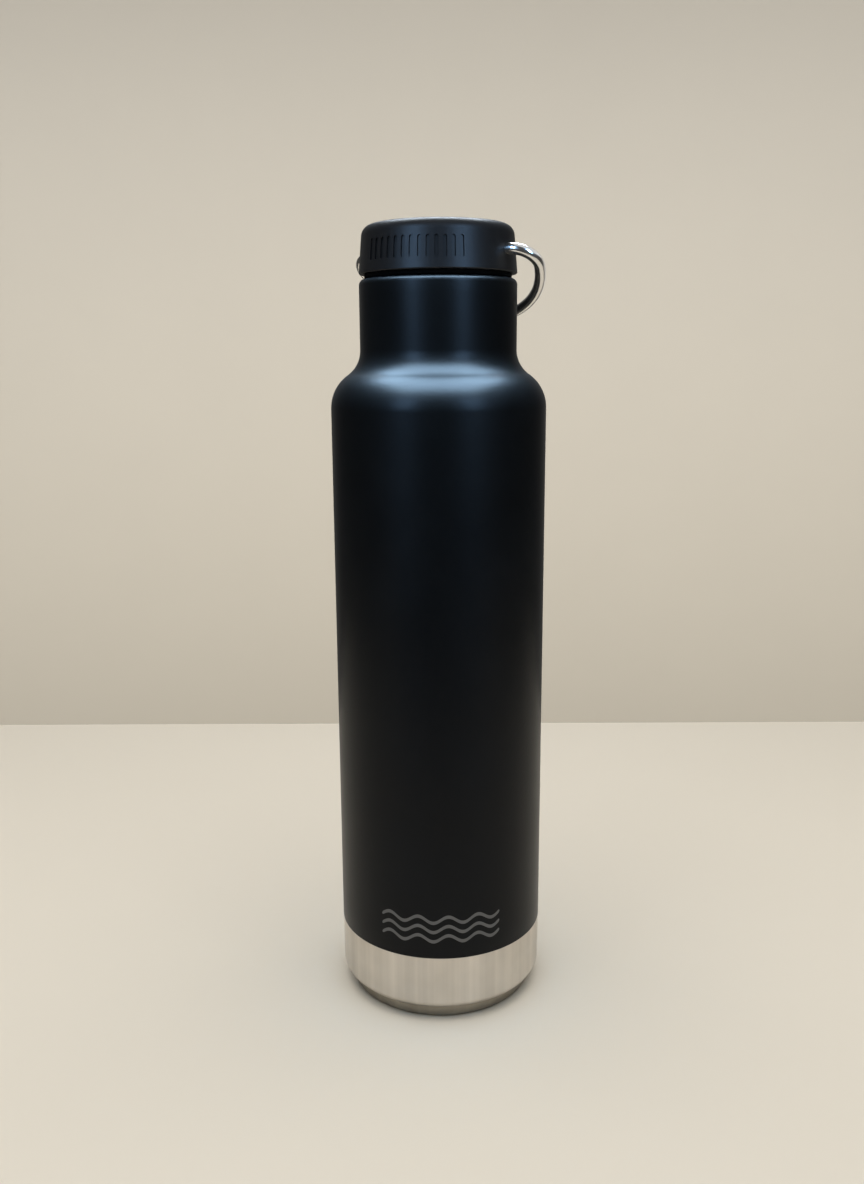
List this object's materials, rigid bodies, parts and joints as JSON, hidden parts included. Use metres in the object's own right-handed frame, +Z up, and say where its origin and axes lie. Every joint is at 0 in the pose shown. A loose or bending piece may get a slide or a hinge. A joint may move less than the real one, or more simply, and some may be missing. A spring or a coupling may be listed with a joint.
{
  "type": "insulated bottle",
  "caption": "Slim double-wall insulated steel bottle with a narrowed neck, a screw cap and a wire carry loop that swings over the cap.",
  "frame": {"origin": "centre of the foot ring, on the surface that the bottle stands on", "axes": "+Z up along the bottle's axis, towards the cap; the printed emblem and the front of the bottle face -Y"},
  "size_m": [0.0732, 0.0732, 0.2706],
  "materials": {
    "body_steel": "satin",
    "liner_steel": "satin",
    "solder": "matte",
    "getter_alloy": "matte",
    "coat": "satin",
    "cap_plastic": "satin",
    "plug_plastic": "satin",
    "foam": "matte",
    "seal": "matte",
    "loop_steel": "polished"
  },
  "bodies": {
    "bottle": {"outer_wall": "body_steel", "powder_coat": "coat", "base_cup": "body_steel", "vacuum_seal": "solder", "seal_cover": "body_steel", "getter": "getter_alloy", "getter_clip": "liner_steel", "liner_wall": "liner_steel", "liner_bottom": "liner_steel"},
    "seal": {"cap_gasket": "seal"},
    "cap": {"cap_shell": "cap_plastic", "cap_plug": "plug_plastic", "cap_insulation": "foam"},
    "loop": {"carry_loop": "loop_steel"}
  },
  "joints": [
    {"name": "cap_lift", "type": "slide", "parent": "bottle", "child": "seal", "axis": [0, 0, 1], "range_m": [0, 0.018]},
    {"name": "cap_turn", "type": "hinge", "parent": "seal", "child": "cap", "pos_m": [0, 0, 0.2618], "axis": [0, 0, 1], "range_deg": [0, 1080]},
    {"name": "loop_swing", "type": "hinge", "parent": "cap", "child": "loop", "pos_m": [0, 0, 0.2618], "axis": [0.8572, -0.515, 0], "range_deg": [0, 251]}
  ],
  "couplings": [
    {"joint": "cap_lift", "follows": "cap_turn", "m_per_rad": 0.00095493}
  ]
}
